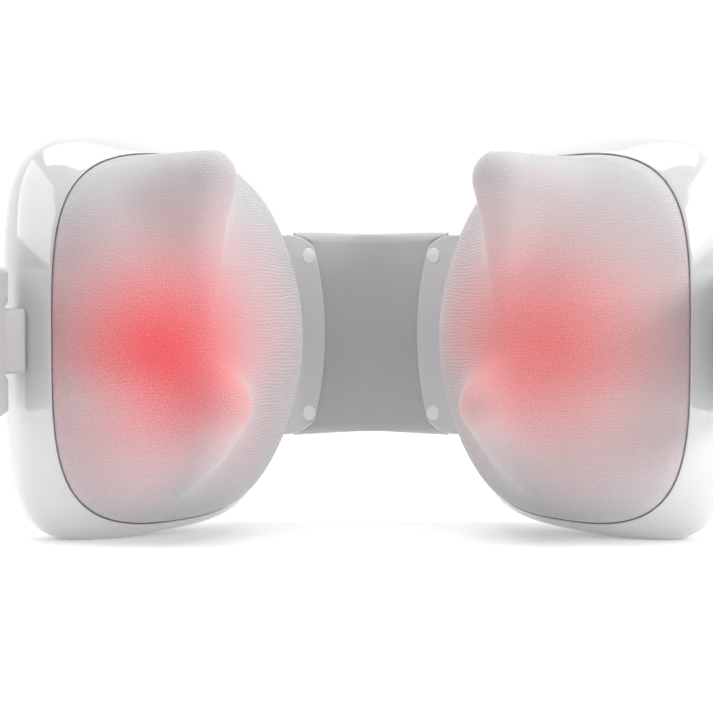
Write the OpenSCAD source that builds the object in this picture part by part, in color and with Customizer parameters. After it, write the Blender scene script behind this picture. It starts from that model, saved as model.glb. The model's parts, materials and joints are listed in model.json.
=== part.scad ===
// Cordless shiatsu neck massager: two kneading pods on a flexible neck band, each with a hinged arm.
// +Z is up, the neck enters along +Y from the front (-Y), and the pods stand on z = 0.
// Every pod part is drawn in the pod's own frame: x runs out towards the arm hinge, y runs back
// into the shell from the seam plane, and z is measured from the middle of the pod.

/* [Stance] */
// Angle that each pod is turned towards the neck
pod_tilt = 35; // [32:0.5:38]
// Distance of each pod's middle from the centre plane
pod_x = 75; // [74:0.5:80]
// Height of the pods' middle above the table
pod_z = 78; // [77.5:0.5:79]

/* [Shell] */
// Half width of the rear shell at its widest
shell_half_w = 62.5; // [61:0.5:64]
// Half height of the rear shell, before it tapers
shell_half_h = 85; // [84.8:0.1:85.4]
// Depth of the rear shell behind the seam
shell_depth = 46; // [45:0.5:50]
// Wall of the rear shell
shell_wall = 2.5; // [2:0.25:3]
// Share by which the shell is lower at its neck end
shell_taper = 0.2; // [0.19:0.005:0.21]

/* [Seam] */
// Half width of the fabric panel at the seam
seam_half_w = 55; // [54:0.5:55.5]
// Half height of the fabric panel at the seam, before it tapers
seam_half_h = 74.8; // [74:0.2:75.4]
// Share by which the fabric panel is lower at its neck end
seam_taper = 0.11; // [0.1:0.005:0.12]
// Gap between the fabric panel and the shell's lip
seam_gap = 0.6; // [0.4:0.1:0.8]

/* [Kneading yoke] */
// Radius of a kneading head
head_r = 10; // [9:0.5:10.5]
// Height of the heads' centres in front of the seam plane
head_reach = 38; // [36:0.5:39]
// Height of the upper head above the pod's middle
head_top = 61; // [59:0.5:61.5]
// Height of the lower head, below the pod's middle
head_low = -24.5; // [-26:0.5:-22]
// Sideways lean of the pair of heads, the upper one outwards
head_lean = 3.2; // [0:0.1:4]
// Swing of the yoke each way from the pod's normal
swing_limit = 9; // [7:0.5:9]
// Swing at which each yoke has stopped: the left one outwards, the right one inwards
swing_rest = 7; // [0:0.5:7]

/* [Neck band] */
// Height of the neck band
band_h = 84; // [80:1:86]
// Thickness of the neck band
band_t = 8; // [7:0.5:9]

/* [Arm] */
// Length of an arm ahead of its hinge pin
arm_len = 112; // [105:1:120]
// Height of an arm
arm_h = 56; // [54:1:58]
// Thickness of an arm
arm_t = 6.4; // [6:0.2:6.4]
// Radius that the arm is bowed to
arm_bow_r = 500; // [450:10:700]

/* [Hidden] */
$fn = 48;

eps = 0.01;
run_gap = 0.05; // radial clearance of everything that turns on a pin

// Neck band and its clamps, in the pod frame
clamp_x = -77; // end of the clamp on the band's side
tang_t = band_t / 2; // the band's ends are half as thick, inside the clamp
band_front_y = 15;
band_mid_y = band_front_y + band_t / 2;
clamp_plate_t = 3;
bracket_t = 8;
bracket_half_h = 38;
tang_half_h = band_h / 2 - 2;
clamp_screw_x = -68.5;
clamp_screw_z = 32.5;
cable_r = 1.4;
cable_offset = 1.9; // the cable runs behind the band's middle line
cable_y = band_mid_y + cable_offset;

// Arm hinge, in the pod frame
hinge_x = 71;
hinge_y = 13;
knuckle_r = 4.4;
lug_r = 3.2;
knuckle_half_h = 12.3;
hinge_pin_r = 1.5;

// Where a point of the right pod's frame lies beside the centre plane and along it
function row_x(x, y) = pod_x + x * cos(pod_tilt) + y * sin(pod_tilt);
function row_y(x, y) = -x * sin(pod_tilt) + y * cos(pod_tilt);

// The band is an arc that meets both clamps at the pods' tilt
band_end_x = clamp_x - 0.5;
band_r = row_x(band_end_x, band_mid_y) / sin(pod_tilt);
band_centre_y = row_y(band_end_x, band_mid_y) - band_r * cos(pod_tilt);
pin_x = row_x(hinge_x, hinge_y);
pin_y = row_y(hinge_x, hinge_y);
// The origin is under the middle of the whole object
back_y = band_centre_y + band_r + band_t / 2;
front_y = pin_y - arm_len;
shift_y = -(back_y + front_y) / 2;

// Yoke and its drive, in the pod frame
pivot_y = 20;
shaft_r = 3;
bush_r = 5;
hub_r = 7;
hub_low = -12;
hub_top = 45;
lug_t = 6;
yoke_z = (head_top + head_low) / 2;
plate_y = 31;
plate_t = 2.5;
plate_half_w = 46;
plate_half_h = 64;
gear_module = 1;
crank_teeth = 30;
pinion_teeth = 12;
crank_z = -36;
crank_axle_r = 2;
gear_y = 12;
gear_t = 4;
eccentric_r = 6;
eccentric_throw = 2;
eccentric_y = 3;
eccentric_t = 6;
mesh_angle = -20; // direction from the crank gear's axle to the pinion
mesh_distance = gear_module * (crank_teeth + pinion_teeth) / 2 + 0.1;
pinion_x = mesh_distance * cos(mesh_angle);
pinion_z = crank_z + mesh_distance * sin(mesh_angle);
boss_spots = [[30, 44], [-30, 42], [33, -50.5], [-30, -42]];

// Controls on the back of the right pod
bezel_back = shell_depth - shell_wall - 0.9; // the bezel's flange lies just inside the wall
bezel_face = shell_depth + 0.6;
bezel_floor = bezel_face - 3.6; // bottom of the button pockets
key_travel = 1.2;
bezel_half_w = 10;
bezel_half_h = 29;
button_r = 6;
button_pitch = 17;

// ---------- outlines and placing ----------

// Superellipse power: squarer at the hinge end, rounder at the neck end, and squarer still
// where the shell bulges
function corner_power(t, bulge) = 2.75 + 0.75 * cos(t) + bulge * (0.85 + 0.25 * cos(t));
function signed_pow(v, p) = sign(v) * pow(abs(v), p);
// Height left at side, which is -1 at the neck end and 1 at the hinge end
function tapered(side, bulge) = 1 - (seam_taper + (shell_taper - seam_taper) * bulge) * (1 - side) / 2;
function pod_outline(a, b, bulge = 0, count = 48) = [
    for (i = [0:count - 1])
        let (t = 360 * i / count, p = 2 / corner_power(t, bulge), side = signed_pow(cos(t), p))
        [a * side, b * signed_pow(sin(t), p) * tapered(side, bulge)]
];

// A thin slice of the pod's outline, a by b, at depth y
module slice(a, b, y, bulge = 0) {
    translate([0, y, 0]) rotate([90, 0, 0]) linear_extrude(0.1) polygon(pod_outline(a, b, bulge));
}

// A prism of the pod's outline from depth y0 to y1
module pod_prism(a, b, y0, y1) {
    translate([0, y1, 0]) rotate([90, 0, 0]) linear_extrude(y1 - y0) polygon(pod_outline(a, b));
}

module pod_frame(side) {
    mirror([side < 0 ? 1 : 0, 0, 0])
        translate([pod_x, shift_y, pod_z])
            rotate([0, 0, -pod_tilt])
                children();
}

// The frame at the arm's hinge pin: x out from the centre plane, -y forwards
module arm_frame(side) {
    mirror([side < 0 ? 1 : 0, 0, 0]) translate([pin_x, pin_y + shift_y, pod_z]) children();
}

// The pod frame with the yoke's own swing about its shaft
module yoke_frame(side) {
    pod_frame(side)
        translate([0, pivot_y, 0])
            rotate([0, 0, -side * swing_rest])
                translate([0, -pivot_y, 0])
                    children();
}

// Turns z to run from point a to point b, with the origin at a
module along(a, b) {
    d = b - a;
    translate(a)
        rotate([0, acos(d.z / norm(d)), atan2(d.y, d.x)])
            children();
}

// A cylinder that runs back along y from y0 to y1 at (x, z)
module rod_y(r, x, z, y0, y1) {
    translate([x, y0, z]) rotate([-90, 0, 0]) cylinder(r = r, h = y1 - y0);
}

module box(x0, x1, y0, y1, z0, z1) {
    translate([x0, y0, z0]) cube([x1 - x0, y1 - y0, z1 - z0]);
}

// A stadium that stands along the second axis
module stadium(r, half_h) {
    for (s = [-1, 1]) translate([0, s * (half_h - r)]) circle(r);
    translate([-r, r - half_h]) square([2 * r, 2 * (half_h - r)]);
}

module rounded_rect(w, h, r) {
    for (sx = [-1, 1], sy = [-1, 1]) translate([sx * (w / 2 - r), sy * (h / 2 - r)]) circle(r);
    square([w - 2 * r, h], center = true);
    square([w, h - 2 * r], center = true);
}

// ---------- shell and fabric ----------

lip_a = seam_half_w + seam_gap;
lip_b = seam_half_h + seam_gap;
belly_y = 18; // depth at which the shell is widest
back_power = 3; // superellipse power of the shell's back
lip_wall = 0.8;

// The shell's skin grown by g: a bulging rim, then a superellipsoid back
module shell_form(g) {
    rim_steps = 3;
    hull() {
        for (i = [0:rim_steps]) {
            t = i / rim_steps;
            rise = sin(90 * t);
            slice(
                lip_a + lip_wall + g + (shell_half_w - lip_a - lip_wall) * rise,
                lip_b + lip_wall + g + (shell_half_h - lip_b - lip_wall) * rise,
                belly_y * t + 0.1,
                t
            );
        }
        for (u = [0.3, 0.5, 0.67, 0.8, 0.9, 0.97, 0.998]) {
            s = pow(1 - pow(u, back_power), 1 / back_power);
            slice(
                (shell_half_w + g) * s,
                (shell_half_h + g) * s,
                belly_y + (shell_depth + g - belly_y) * u,
                1
            );
        }
    }
}

module shell_bosses() {
    for (p = boss_spots) rod_y(4, p.x, p.y, plate_y + plate_t, shell_depth);
}

module shell(side) {
    color("whitesmoke") pod_frame(side) difference() {
        intersection() {
            shell_form(0);
            box(-90, 90, -1, 90, -pod_z, 90);
        }
        difference() {
            shell_form(-shell_wall);
            box(-90, 90, -1, 90, -90, -pod_z + shell_wall);
            shell_bosses();
        }
        pod_prism(lip_a, lip_b, -1, 5);
        for (p = boss_spots) rod_y(1.6, p.x, p.y, 0, plate_y + plate_t + 7);
        // windows for the arm's hinge and for the neck bracket
        box(50, 70, hinge_y - knuckle_r - 0.3, hinge_y + knuckle_r + 0.3, -knuckle_half_h - 0.3, knuckle_half_h + 0.3);
        box(-70, -50, band_mid_y - 0.3, band_mid_y + 7.3, -30.4, 30.4);
        if (side > 0) {
            // windows for the control bezel and the charging socket
            translate([0, 90, 0]) rotate([90, 0, 0])
                linear_extrude(60) stadium(bezel_half_w + 0.3, bezel_half_h + 0.3);
            box(50, 70, 15.2, 24.8, -39.2, -32.8);
        }
    }
}

module fabric_frame(side) {
    color("white") pod_frame(side) difference() {
        pod_prism(seam_half_w, seam_half_h, -1, 7);
        pod_prism(seam_half_w - 4.5, seam_half_h - 4.5, -2, 8);
    }
}

// Room under the knit cover: a pillow over the frame, and the heads at both ends of their swing
module cover_form(g) {
    hull() {
        slice(seam_half_w - 0.2 + g, seam_half_h - 0.2 + g, -1.1);
        slice(seam_half_w - 5 + g, seam_half_h - 5 + g, -8);
        slice(seam_half_w - 13 + g, seam_half_h - 13 + g, -20 - g);
        for (s = [-1:1], top = [true, false])
            translate([0, pivot_y, 0]) rotate([0, 0, s * swing_limit]) translate([0, -pivot_y, 0])
                translate(top ? head_upper : head_lower) sphere(r = head_r + 2.2 + g, $fn = 24);
    }
}

module fabric_cover(side) {
    color("mistyrose") pod_frame(side) difference() {
        cover_form(0);
        cover_form(-1.6);
        box(-90, 90, -1.05, 90, -90, 90);
    }
}

// ---------- kneading mechanism ----------

head_upper = [head_lean, -head_reach, head_top];
head_lower = [-head_lean, -head_reach, head_low];
elbow_upper = [0, 4, yoke_z + 14];
elbow_lower = [0, 4, yoke_z - 14];
neck_len = 9; // from a head's centre back to its flat base
spigot_r = 3;
spigot_len = 5;

function toward(a, b, d) = a + (b - a) * d / norm(b - a);

module mechanism_plate(side) {
    color("gainsboro") pod_frame(side) difference() {
        union() {
            pod_prism(plate_half_w, plate_half_h, plate_y, plate_y + plate_t);
            for (z = [hub_low - 1 - lug_t, hub_top + 1])
                box(-9, 9, pivot_y - 9, plate_y + eps, z, z + lug_t);
        }
        for (p = boss_spots) rod_y(1.6, p.x, p.y, plate_y - 1, plate_y + plate_t + 1);
        translate([0, pivot_y, hub_low - 20]) cylinder(r = bush_r, h = hub_top - hub_low + 40);
        rod_y(crank_axle_r, 0, crank_z, plate_y - 1, plate_y + plate_t + 1);
    }
}

module plate_screws(side) {
    color("silver") pod_frame(side) for (p = boss_spots) {
        rod_y(1.5, p.x, p.y, plate_y - eps, plate_y + plate_t + 6);
        rod_y(3, p.x, p.y, plate_y - 2, plate_y);
    }
}

// Worm gearmotor: a flat gearbox on the plate with the motor can standing beside the yoke
module gearmotor(side) {
    color("dimgray") pod_frame(side) difference() {
        union() {
            box(12, 42, 18, plate_y, -57, -34);
            translate([31, 19.8, -34 - eps]) cylinder(r = 11, h = 36);
            translate([31, 19.8, 2 - eps]) cylinder(r = 4, h = 3);
        }
        rod_y(1.5 + run_gap, pinion_x, pinion_z, 17, 27);
        // well for the plate screw behind the gearbox
        rod_y(3.5, boss_spots[2].x, boss_spots[2].y, 17, plate_y + 1);
    }
}

// Spur gear with straight-flanked teeth and backlash, one tooth pointing along x
module gear_outline(teeth) {
    r = gear_module * teeth / 2;
    step = 360 / teeth;
    polygon([
        for (i = [0:teeth - 1], c = [[-0.34, -1.15], [-0.21, 0], [-0.1, 0.9], [0.1, 0.9], [0.21, 0], [0.34, -1.15]])
            let (angle = (i + c[0]) * step, rr = r + c[1] * gear_module)
            [rr * cos(angle), rr * sin(angle)]
    ]);
}

module pinion(side) {
    color("gold") pod_frame(side) translate([pinion_x, 0, pinion_z]) {
        translate([0, gear_y + gear_t, 0]) rotate([90, 0, 0]) linear_extrude(gear_t)
            rotate(180 + mesh_angle + 180 / pinion_teeth) gear_outline(pinion_teeth);
        rod_y(1.5, 0, 0, gear_y + gear_t - eps, 26.5);
    }
}

module crank_gear(side) {
    color("ivory") pod_frame(side) translate([0, 0, crank_z]) difference() {
        union() {
            translate([0, gear_y + gear_t, 0]) rotate([90, 0, 0]) linear_extrude(gear_t)
                rotate(mesh_angle) gear_outline(crank_teeth);
            rod_y(3.6, 0, 0, eccentric_y + eccentric_t - eps, gear_y + eps);
            rod_y(eccentric_r, -side * eccentric_throw, 0, eccentric_y, eccentric_y + eccentric_t);
        }
        rod_y(crank_axle_r + run_gap, 0, 0, eccentric_y - 1, gear_y + gear_t + 1);
    }
}

module crank_axle(side) {
    color("silver") pod_frame(side) {
        rod_y(crank_axle_r, 0, crank_z, eccentric_y - 0.5, plate_y + plate_t);
        rod_y(crank_axle_r + 1.5, 0, crank_z, eccentric_y - 1.7, eccentric_y - 0.5 + eps);
        rod_y(crank_axle_r + 1.5, 0, crank_z, gear_y + gear_t + 0.5, plate_y);
    }
}

// One tapered limb of the yoke, from its elbow to just short of the head's base
module yoke_limb(elbow, head) {
    hull() {
        translate(elbow) sphere(r = 6, $fn = 24);
        translate(toward(head, elbow, neck_len + 5)) sphere(r = 4.5, $fn = 24);
    }
    hull() {
        translate(elbow) sphere(r = 6, $fn = 24);
        translate([0, pivot_y - 4, elbow.z]) sphere(r = 6, $fn = 24);
    }
    // the spigot that the head is pressed on
    along(toward(head, elbow, neck_len + 6), head) cylinder(r = spigot_r, h = 6 + spigot_len - 1);
}

module yoke(side) {
    prong_in = eccentric_r + 2 * eccentric_throw + 0.9;
    color("lightgray") yoke_frame(side) difference() {
        union() {
            translate([0, pivot_y, hub_low]) cylinder(r = hub_r, h = hub_top - hub_low);
            yoke_limb(elbow_upper, head_upper);
            yoke_limb(elbow_lower, head_lower);
            // tail that reaches down past the lower lug and forks round the eccentric
            box(-5, 5, eccentric_y, eccentric_y + eccentric_t, -27, elbow_lower.z);
            box(-prong_in - 3, prong_in + 3, eccentric_y, eccentric_y + eccentric_t, -27.5, -24.5);
            for (s = [-1, 1])
                translate([s * (prong_in + 1.5), eccentric_y + eccentric_t / 2, -36])
                    cube([3, eccentric_t, 20], center = true);
        }
        translate([0, pivot_y, hub_low - 1]) cylinder(r = shaft_r + run_gap, h = hub_top - hub_low + 2);
    }
}

// A ball on a short taper, bored for the yoke's spigot
module kneading_head(head, elbow) {
    along(toward(head, elbow, neck_len), head) rotate_extrude() difference() {
        intersection() {
            union() {
                translate([0, neck_len]) circle(head_r);
                polygon([[0, 0], [7.5, 0], [head_r - 0.3, neck_len], [0, neck_len]]);
            }
            square([2 * head_r, 3 * head_r]);
        }
        square([spigot_r, spigot_len - 1]);
    }
}

module kneading_heads(side) {
    color("seashell") yoke_frame(side) {
        kneading_head(head_upper, elbow_upper);
        kneading_head(head_lower, elbow_lower);
    }
}

module yoke_shaft(side) {
    color("silver") pod_frame(side)
        translate([0, pivot_y, hub_low - 1 - lug_t])
            cylinder(r = shaft_r, h = hub_top - hub_low + 2 + 2 * lug_t);
}

module yoke_bushes(side) {
    color("peru") pod_frame(side) for (z = [hub_low - 1 - lug_t, hub_top + 1])
        translate([0, pivot_y, z]) difference() {
            cylinder(r = bush_r, h = lug_t);
            translate([0, 0, -1]) cylinder(r = shaft_r, h = lug_t + 2);
        }
}

lamp_x = 27;
lamp_z = 2;
lamp_y = 3;

module lamp_board(side) {
    color("darkgreen") pod_frame(side) {
        rod_y(15, lamp_x, lamp_z, lamp_y, lamp_y + 1.6);
        for (a = [0:60:300])
            rod_y(2, lamp_x + 8 * cos(a), lamp_z + 8 * sin(a), lamp_y - 1.5, lamp_y + eps);
        // legs that hold the board over the mechanism plate
        for (x = [lamp_x - 10, lamp_x + 9]) rod_y(2.5, x, lamp_z + 10, lamp_y + 1.6 - eps, plate_y);
    }
}

module lamp_lens(side) {
    color("tomato") pod_frame(side) difference() {
        rod_y(15, lamp_x, lamp_z, lamp_y - 5, lamp_y);
        rod_y(13, lamp_x, lamp_z, lamp_y - 3.5, lamp_y + 1);
    }
}

// ---------- neck band and its clamps ----------

module neck_bracket(side) {
    y0 = band_front_y + tang_t;
    color("white") pod_frame(side) difference() {
        union() {
            difference() {
                box(clamp_x, -50, y0, y0 + bracket_t, -bracket_half_h, bracket_half_h);
                shell_form(0.1);
            }
            box(-63, -52, band_mid_y, band_mid_y + 7, -30, 30);
            box(-54, -52, band_mid_y - 2, band_mid_y + 9.5, -32, 32);
        }
        translate([clamp_x - 1, cable_y, 0]) rotate([0, 90, 0]) cylinder(r = cable_r + 0.3, h = 40);
        for (s = [-1, 1]) rod_y(1.5, clamp_screw_x, s * clamp_screw_z, y0 - 1, y0 + 6.5);
    }
}

module clamp_plate(side) {
    half_h = band_h / 2 - 1;
    corner = 18;
    end_r = 120; // the plate's end is bowed towards the band
    y0 = band_front_y - clamp_plate_t;
    color("white") pod_frame(side) difference() {
        intersection() {
            box(clamp_x, -45, y0, band_front_y, -half_h, half_h);
            translate([clamp_x + 50, 30, 0]) rotate([90, 0, 0])
                linear_extrude(40) intersection() {
                    rounded_rect(100, 2 * half_h, corner);
                    translate([end_r - 50, 0]) circle(end_r, $fn = 240);
                }
        }
        shell_form(0.3);
        for (s = [-1, 1]) {
            rod_y(1.6, clamp_screw_x, s * clamp_screw_z, y0 - 1, band_front_y + 1);
            rod_y(4.1, clamp_screw_x, s * clamp_screw_z, y0 - 1, y0 + 1.5);
        }
    }
}

module clamp_screws(side) {
    y0 = band_front_y - clamp_plate_t;
    color("white") pod_frame(side) for (s = [-1, 1]) {
        rod_y(1.5, clamp_screw_x, s * clamp_screw_z, y0 + 1, band_front_y + tang_t + 6);
        rod_y(3.9, clamp_screw_x, s * clamp_screw_z, y0 - 0.3, y0 + 1.5);
    }
}

module band_tang(side) {
    pod_frame(side) difference() {
        box(band_end_x - eps, -66, band_front_y, band_front_y + tang_t, -tang_half_h, tang_half_h);
        for (s = [-1, 1]) rod_y(2, clamp_screw_x, s * clamp_screw_z, 0, 40);
    }
}

// Sweeps a profile, drawn at its radius, along the band's arc
module band_sweep() {
    translate([0, band_centre_y + shift_y, pod_z])
        rotate([0, 0, 90 - pod_tilt])
            rotate_extrude(angle = 2 * pod_tilt, $fn = 96)
                children();
}

module neck_band() {
    color("darkgray") {
        difference() {
            band_sweep() translate([band_r, 0]) stadium(band_t / 2, band_h / 2);
            band_sweep() translate([band_r + cable_offset, 0]) circle(cable_r + 0.3);
        }
        band_tang(1);
        band_tang(-1);
    }
}

module band_harness() {
    color("dimgray") {
        band_sweep() translate([band_r + cable_offset, 0]) circle(cable_r);
        for (side = [-1, 1]) pod_frame(side)
            translate([band_end_x - 1.5, cable_y, 0]) rotate([0, 90, 0]) cylinder(r = cable_r + 0.15, h = 27.5);
    }
}

// ---------- arms ----------

module hinge_knuckle(side) {
    color("lightgray") pod_frame(side) difference() {
        union() {
            translate([hinge_x, hinge_y, -knuckle_half_h]) cylinder(r = knuckle_r, h = 2 * knuckle_half_h);
            box(55, hinge_x, hinge_y - knuckle_r, hinge_y + knuckle_r, -knuckle_half_h, knuckle_half_h);
            box(53, 56, hinge_y - 5, hinge_y + 9, -knuckle_half_h - 4, knuckle_half_h + 4);
        }
        translate([hinge_x, hinge_y, -20]) cylinder(r = hinge_pin_r, h = 40);
    }
}

module hinge_pin(side) {
    color("silver") pod_frame(side)
        translate([hinge_x, hinge_y, 1 - arm_h / 2]) cylinder(r = hinge_pin_r, h = arm_h - 2);
}

// A layer of the bowed arm that keeps inset from its faces, swept about the bow's centre
module bow_layer(inset) {
    translate([lug_r - arm_bow_r, 0, 0]) rotate([0, 0, -24])
        rotate_extrude(angle = 26, $fn = 200)
            translate([arm_bow_r - arm_t / 2, 0]) square([arm_t - 2 * inset, arm_h + 2], center = true);
}

slot_r = 12;
slot_near = -42;
slot_far = slot_near - 54;

// The outline of a slot in the arm's side, grown by g
module slot_prism(g) {
    translate([-60, (slot_near + slot_far) / 2, 0]) rotate([90, 0, 90])
        linear_extrude(120) rotate(90) stadium(slot_r + g, (slot_near - slot_far) / 2 + g);
}

module arm(side) {
    color("gainsboro") arm_frame(side) difference() {
        union() {
            for (z = [knuckle_half_h + 0.5, -arm_h / 2])
                translate([0, 0, z]) cylinder(r = lug_r, h = arm_h / 2 - knuckle_half_h - 0.5);
            intersection() {
                bow_layer(0);
                translate([-60, 0, 0]) rotate([90, 0, 90]) linear_extrude(120) union() {
                    translate([-arm_len + arm_h / 2, 0]) circle(arm_h / 2, $fn = 96);
                    translate([-arm_len + arm_h / 2, -arm_h / 2]) square([arm_len - arm_h / 2, arm_h]);
                }
            }
        }
        // notch that clears the knuckle as the arm swings
        translate([0, 0, -knuckle_half_h - 0.5])
            cylinder(r = knuckle_r + 1.5, h = 2 * knuckle_half_h + 1);
        translate([0, 0, -arm_h / 2 - 1]) cylinder(r = hinge_pin_r + run_gap, h = arm_h + 2);
        slot_prism(0);
    }
}

module finger_grip(side) {
    color("darkgray") arm_frame(side) difference() {
        intersection() {
            bow_layer(-0.6);
            slot_prism(-0.05);
        }
        slot_prism(-2.5);
    }
}

// ---------- electrics and controls ----------

module battery_pack() {
    cell_r = 9;
    cell_half = 32.5;
    color("royalblue") pod_frame(-1) for (x = [-23.7, -41.8])
        translate([x, 21, -cell_half]) cylinder(r = cell_r, h = 2 * cell_half);
}

module main_board() {
    color("darkgreen") pod_frame(1) {
        box(-48, -14, 26, 27.6, -32, 34);
        box(-40, -28, 23, 26 + eps, -8, 6);
        for (z = [-24, 22]) box(-44, -36, 21, 26 + eps, z, z + 8);
        for (x = [-38, -18], z = [-28, 28]) rod_y(1.5, x, z, 27.6 - eps, plate_y);
    }
}

module charge_socket() {
    color("silver") pod_frame(1) translate([0, 20, -36]) difference() {
        box(49, 60, -4.6, 4.6, -3, 3);
        translate([52, 0, 0]) rotate([90, 0, 90]) linear_extrude(20) rotate(90) stadium(1.6, 4);
    }
}

module control_bezel() {
    color("gainsboro") pod_frame(1) difference() {
        union() {
            translate([0, bezel_face, 0]) rotate([90, 0, 0])
                linear_extrude(bezel_face - bezel_back) stadium(bezel_half_w, bezel_half_h);
            translate([0, bezel_back + eps, 0]) rotate([90, 0, 0])
                linear_extrude(1.5) stadium(bezel_half_w + 2, bezel_half_h + 2);
        }
        for (i = [-1:1]) {
            rod_y(button_r + 0.3, 0, i * button_pitch, bezel_floor, bezel_face + 1);
            rod_y(button_r - 2.5, 0, i * button_pitch, bezel_back - 2, bezel_face + 1);
        }
    }
}

// A round key whose stem runs through the bezel
module button(i) {
    key_y = bezel_floor + key_travel + 0.3;
    color("white") pod_frame(1) {
        rod_y(button_r, 0, i * button_pitch, key_y, bezel_face + 0.8);
        rod_y(button_r - 2.8, 0, i * button_pitch, bezel_back - 2.5, key_y + eps);
    }
}

// ---------- the whole object ----------

shell(-1);  // left_shell
shell(1);  // right_shell
fabric_frame(-1);  // left_fabric_frame
fabric_frame(1);  // right_fabric_frame
fabric_cover(-1);  // left_fabric_cover
fabric_cover(1);  // right_fabric_cover
mechanism_plate(-1);  // left_mechanism_plate
mechanism_plate(1);  // right_mechanism_plate
plate_screws(-1);  // left_plate_screws
plate_screws(1);  // right_plate_screws
gearmotor(-1);  // left_gearmotor
gearmotor(1);  // right_gearmotor
pinion(-1);  // left_pinion
pinion(1);  // right_pinion
crank_gear(-1);  // left_crank_gear
crank_gear(1);  // right_crank_gear
crank_axle(-1);  // left_crank_axle
crank_axle(1);  // right_crank_axle
yoke(-1);  // left_yoke
yoke(1);  // right_yoke
kneading_heads(-1);  // left_kneading_heads
kneading_heads(1);  // right_kneading_heads
yoke_shaft(-1);  // left_yoke_shaft
yoke_shaft(1);  // right_yoke_shaft
yoke_bushes(-1);  // left_yoke_bushes
yoke_bushes(1);  // right_yoke_bushes
lamp_board(-1);  // left_lamp_board
lamp_board(1);  // right_lamp_board
lamp_lens(-1);  // left_lamp_lens
lamp_lens(1);  // right_lamp_lens
neck_bracket(-1);  // left_neck_bracket
neck_bracket(1);  // right_neck_bracket
clamp_plate(-1);  // left_clamp_plate
clamp_plate(1);  // right_clamp_plate
clamp_screws(-1);  // left_clamp_screws
clamp_screws(1);  // right_clamp_screws
hinge_knuckle(-1);  // left_hinge_knuckle
hinge_knuckle(1);  // right_hinge_knuckle
hinge_pin(-1);  // left_hinge_pin
hinge_pin(1);  // right_hinge_pin
arm(-1);  // left_arm
arm(1);  // right_arm
finger_grip(-1);  // left_finger_grip
finger_grip(1);  // right_finger_grip
neck_band();
band_harness();
battery_pack();
main_board();
charge_socket();
control_bezel();
button(1);  // power_button
button(0);  // heat_button
button(-1);  // speed_button
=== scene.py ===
"""The looks of the neck massager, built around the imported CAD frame. Lengths are in metres."""
import json
import math

import bpy
import numpy as np
from mathutils import Matrix, Vector


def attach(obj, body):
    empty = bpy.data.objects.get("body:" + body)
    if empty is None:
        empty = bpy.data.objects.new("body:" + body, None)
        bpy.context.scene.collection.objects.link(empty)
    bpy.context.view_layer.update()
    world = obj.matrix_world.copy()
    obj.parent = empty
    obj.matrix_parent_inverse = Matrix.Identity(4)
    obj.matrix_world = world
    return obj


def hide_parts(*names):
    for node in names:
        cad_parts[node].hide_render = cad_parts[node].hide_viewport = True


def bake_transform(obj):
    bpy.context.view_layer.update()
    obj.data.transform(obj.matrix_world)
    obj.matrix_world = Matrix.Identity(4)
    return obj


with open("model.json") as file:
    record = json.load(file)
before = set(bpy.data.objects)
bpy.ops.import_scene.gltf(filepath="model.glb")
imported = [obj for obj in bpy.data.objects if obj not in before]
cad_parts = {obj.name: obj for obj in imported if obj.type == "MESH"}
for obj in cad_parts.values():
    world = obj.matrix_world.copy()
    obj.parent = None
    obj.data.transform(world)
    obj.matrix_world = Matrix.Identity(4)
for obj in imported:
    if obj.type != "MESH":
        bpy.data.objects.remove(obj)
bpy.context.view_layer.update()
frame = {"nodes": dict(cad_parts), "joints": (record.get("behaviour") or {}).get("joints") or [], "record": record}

MM = 0.001
JOINTS = {joint["name"]: joint for joint in frame["joints"]}
SIDES = ("left", "right")

# ---------- sizes, nearly all of them as in the CAD part ----------

PIVOT_DEPTH = 20 * MM  # the yoke's shaft, behind the seam plane
SEAM_W, SEAM_H = 55 * MM, 74.8 * MM  # half width and half height of the knit panel, before it tapers
SEAM_GAP = 0.6 * MM
LIP_WALL = 0.8 * MM
SHELL_W, SHELL_H = 62.5 * MM, 85 * MM
SEAM_TAPER, SHELL_TAPER = 0.11, 0.2  # how much lower both are at the neck end
SQUARE, SQUARE_OUT = 2.75, 0.75  # exponent of the seam's outline, and its growth towards the arm
MORE_SQUARE, MORE_SQUARE_OUT = 0.85, 0.25  # what the shell's widest outline adds to both
LIP_DEPTH, LIP_ROUND = 4 * MM, 0.5 * MM
RIM_HALF = 0.75 * MM  # half the width of the rim that holds the knit
RIM_Y, RIM_FRONT, RIM_BACK = 2.1 * MM, 2.8 * MM, 2.9 * MM  # its middle, and its reach forwards and back
BELLY_Y = 18 * MM
SHELL_DEPTH = 46 * MM
BACK_POWER = 3
HEAD_R = 10 * MM
HEAD_REACH = 38 * MM
HEAD_Z = {"upper": 61 * MM, "lower": -24.5 * MM}
HEAD_LEAN = {"upper": 3.2 * MM, "lower": -3.2 * MM}
SWING_REST = math.radians(7)
HINGE_X, HINGE_Y = 71 * MM, 13 * MM
KNUCKLE_R = 4.4 * MM
LUG_R = 3.2 * MM
KNUCKLE_HALF = 12.3 * MM
CLAMP_X = -77 * MM
CLAMP_Y = 15 * MM
CLAMP_T = 3 * MM
CLAMP_SLIT = 1.6 * MM  # between the plate's edge and the band, which it grips further in
CLAMP_END_R = 120 * MM  # the plate's end is bowed towards the band
CLAMP_CORNER = 18 * MM
CLAMP_FAR = -52 * MM  # the plate's other end, on the shell
CLAMP_FOOT = 3 * MM  # the plate's foot, which the slit runs round, is this much smaller on every side
CLAMP_SCREW_X, CLAMP_SCREW_Z = -68.5 * MM, 32.5 * MM
CAP_HALF_W, CAP_HALF_H = 3.1 * MM, 3.1001 * MM  # a screw's cap, a hair off round so that no two points meet
BAND_T = 8 * MM
BAND_H = 84 * MM
BAND_STOP = 0.5 * MM  # the band's curve stops this far short of its clamp plates
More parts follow.
